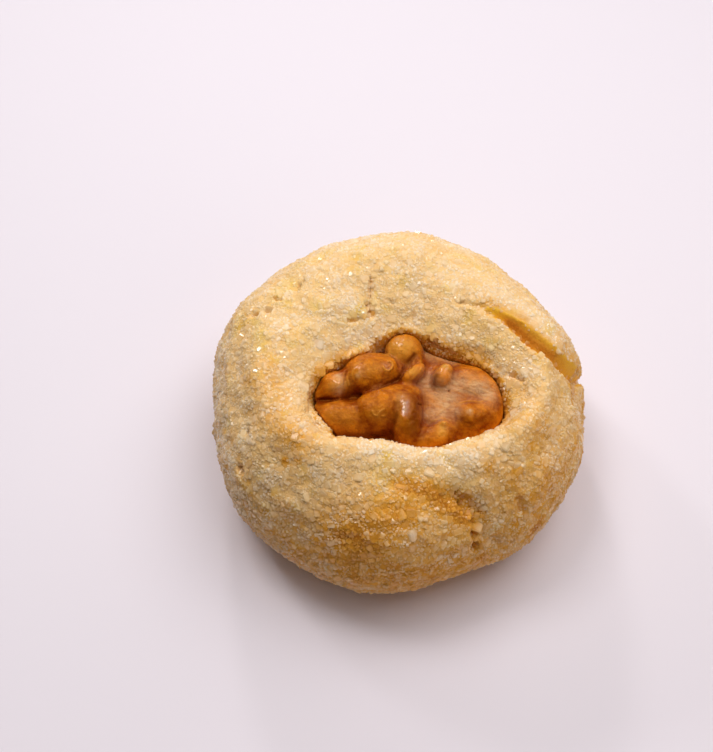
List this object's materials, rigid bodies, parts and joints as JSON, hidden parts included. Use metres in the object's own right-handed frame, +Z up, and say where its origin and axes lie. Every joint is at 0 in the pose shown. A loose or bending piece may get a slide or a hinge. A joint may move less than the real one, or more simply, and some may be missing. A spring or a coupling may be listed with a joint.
{
  "type": "almond paste cookie",
  "caption": "Round, dimpled almond paste cookie rolled in coarse sugar, torn at one shoulder and cracked in front, with a walnut half pressed into its top.",
  "frame": {"origin": "middle of the bounding box at the underside, where the cookie rests", "axes": "+Z up, -Y towards the cracked front, +X towards the torn shoulder"},
  "size_m": [0.0492, 0.05, 0.0222],
  "materials": {
    "sugared_dough": "baked almond dough under a crust of coarse, clear sugar grains",
    "walnut_skin": "toasted kernel skin with a thin shine of oil"
  },
  "bodies": {
    "root": {"dough": "sugared_dough", "walnut": "walnut_skin"}
  },
  "joints": []
}
